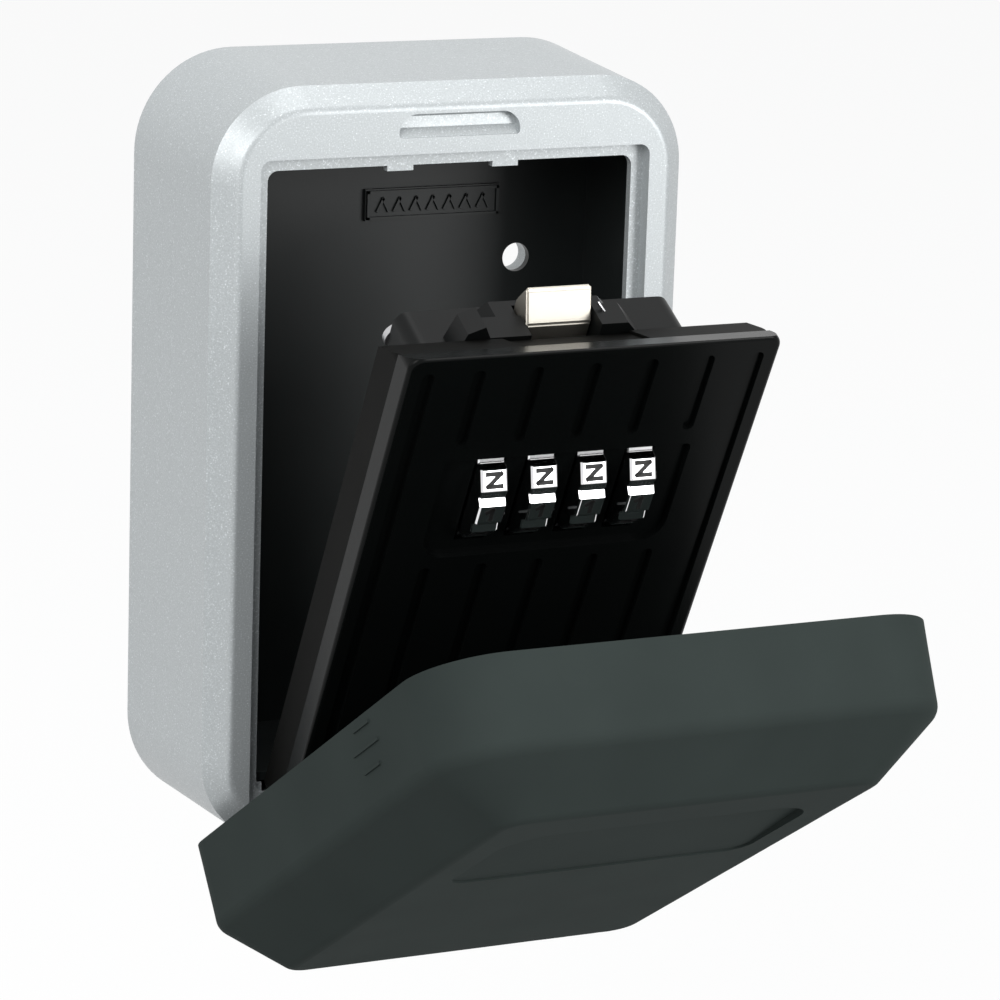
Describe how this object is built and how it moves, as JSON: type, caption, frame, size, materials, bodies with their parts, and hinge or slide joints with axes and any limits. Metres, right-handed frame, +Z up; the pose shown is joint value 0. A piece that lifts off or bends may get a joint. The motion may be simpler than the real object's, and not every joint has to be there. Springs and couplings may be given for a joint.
{
  "type": "key lock box",
  "caption": "Wall-mounted key lock box: die-cast casing with black liner, drop-down door with number dials and sliding bolt, and a deep hinged weather cover.",
  "frame": {"origin": "centre of the casing's back face, on the wall", "axes": "+X to the right as seen from the front, +Z up, -Y out of the wall towards the user"},
  "size_m": [0.0872, 0.1333, 0.1479],
  "materials": {
    "casing_silver": "fine metallic satin paint",
    "liner_black": "satin moulded plastic",
    "door_black": "gloss moulded face",
    "lock_black": "satin moulded plastic",
    "cover_charcoal": "soft-touch matt",
    "steel": "plain",
    "nickel": "nickel plated",
    "dial_chrome": "bright plated",
    "spring_steel": "blued"
  },
  "bodies": {
    "box": {"casing": "casing_silver", "liner": "liner_black", "liner_screws": "steel", "strike_plate": "spring_steel", "strike_screws": "steel", "hinge_rod": "steel"},
    "door": {"door_front": "door_black", "door_back": "lock_black", "door_screws": "steel", "lock_housing": "lock_black", "housing_screws": "steel", "dial_shaft": "steel", "detent_spring": "spring_steel", "latch_springs": "spring_steel"},
    "bolt": {"latch_bolt": "nickel", "gate_bar": "steel"},
    "lever": {"reset_lever": "lock_black"},
    "dial_a": {"dial_1": "dial_chrome", "code_hub_1": "steel"},
    "dial_b": {"dial_2": "dial_chrome", "code_hub_2": "steel"},
    "dial_c": {"dial_3": "dial_chrome", "code_hub_3": "steel"},
    "dial_d": {"dial_4": "dial_chrome", "code_hub_4": "steel"},
    "cover": {"cover": "cover_charcoal"}
  },
  "joints": [
    {"name": "door_hinge", "type": "hinge", "parent": "box", "child": "door", "pos_m": [0, -0.0275, -0.0565], "axis": [1, 0, 0], "range_deg": [-27.5, 0]},
    {"name": "cover_hinge", "type": "hinge", "parent": "door", "child": "cover", "pos_m": [0, -0.0275, -0.0565], "axis": [1, 0, 0], "range_deg": [-30.5, 27]},
    {"name": "dial_1_turn", "type": "hinge", "parent": "door", "child": "dial_a", "pos_m": [-0.0129, -0.07131, 0.00795], "axis": [1, 0, 0], "continuous": true},
    {"name": "dial_2_turn", "type": "hinge", "parent": "door", "child": "dial_b", "pos_m": [-0.0043, -0.07131, 0.00795], "axis": [1, 0, 0], "continuous": true},
    {"name": "dial_3_turn", "type": "hinge", "parent": "door", "child": "dial_c", "pos_m": [0.0043, -0.07131, 0.00795], "axis": [1, 0, 0], "continuous": true},
    {"name": "dial_4_turn", "type": "hinge", "parent": "door", "child": "dial_d", "pos_m": [0.0129, -0.07131, 0.00795], "axis": [1, 0, 0], "continuous": true},
    {"name": "bolt_slide", "type": "slide", "parent": "door", "child": "bolt", "axis": [0, -0.4617, 0.887], "range_m": [0, 0.0032]},
    {"name": "reset_slide", "type": "slide", "parent": "door", "child": "lever", "axis": [1, 0, 0], "range_m": [0, 0.004]}
  ]
}
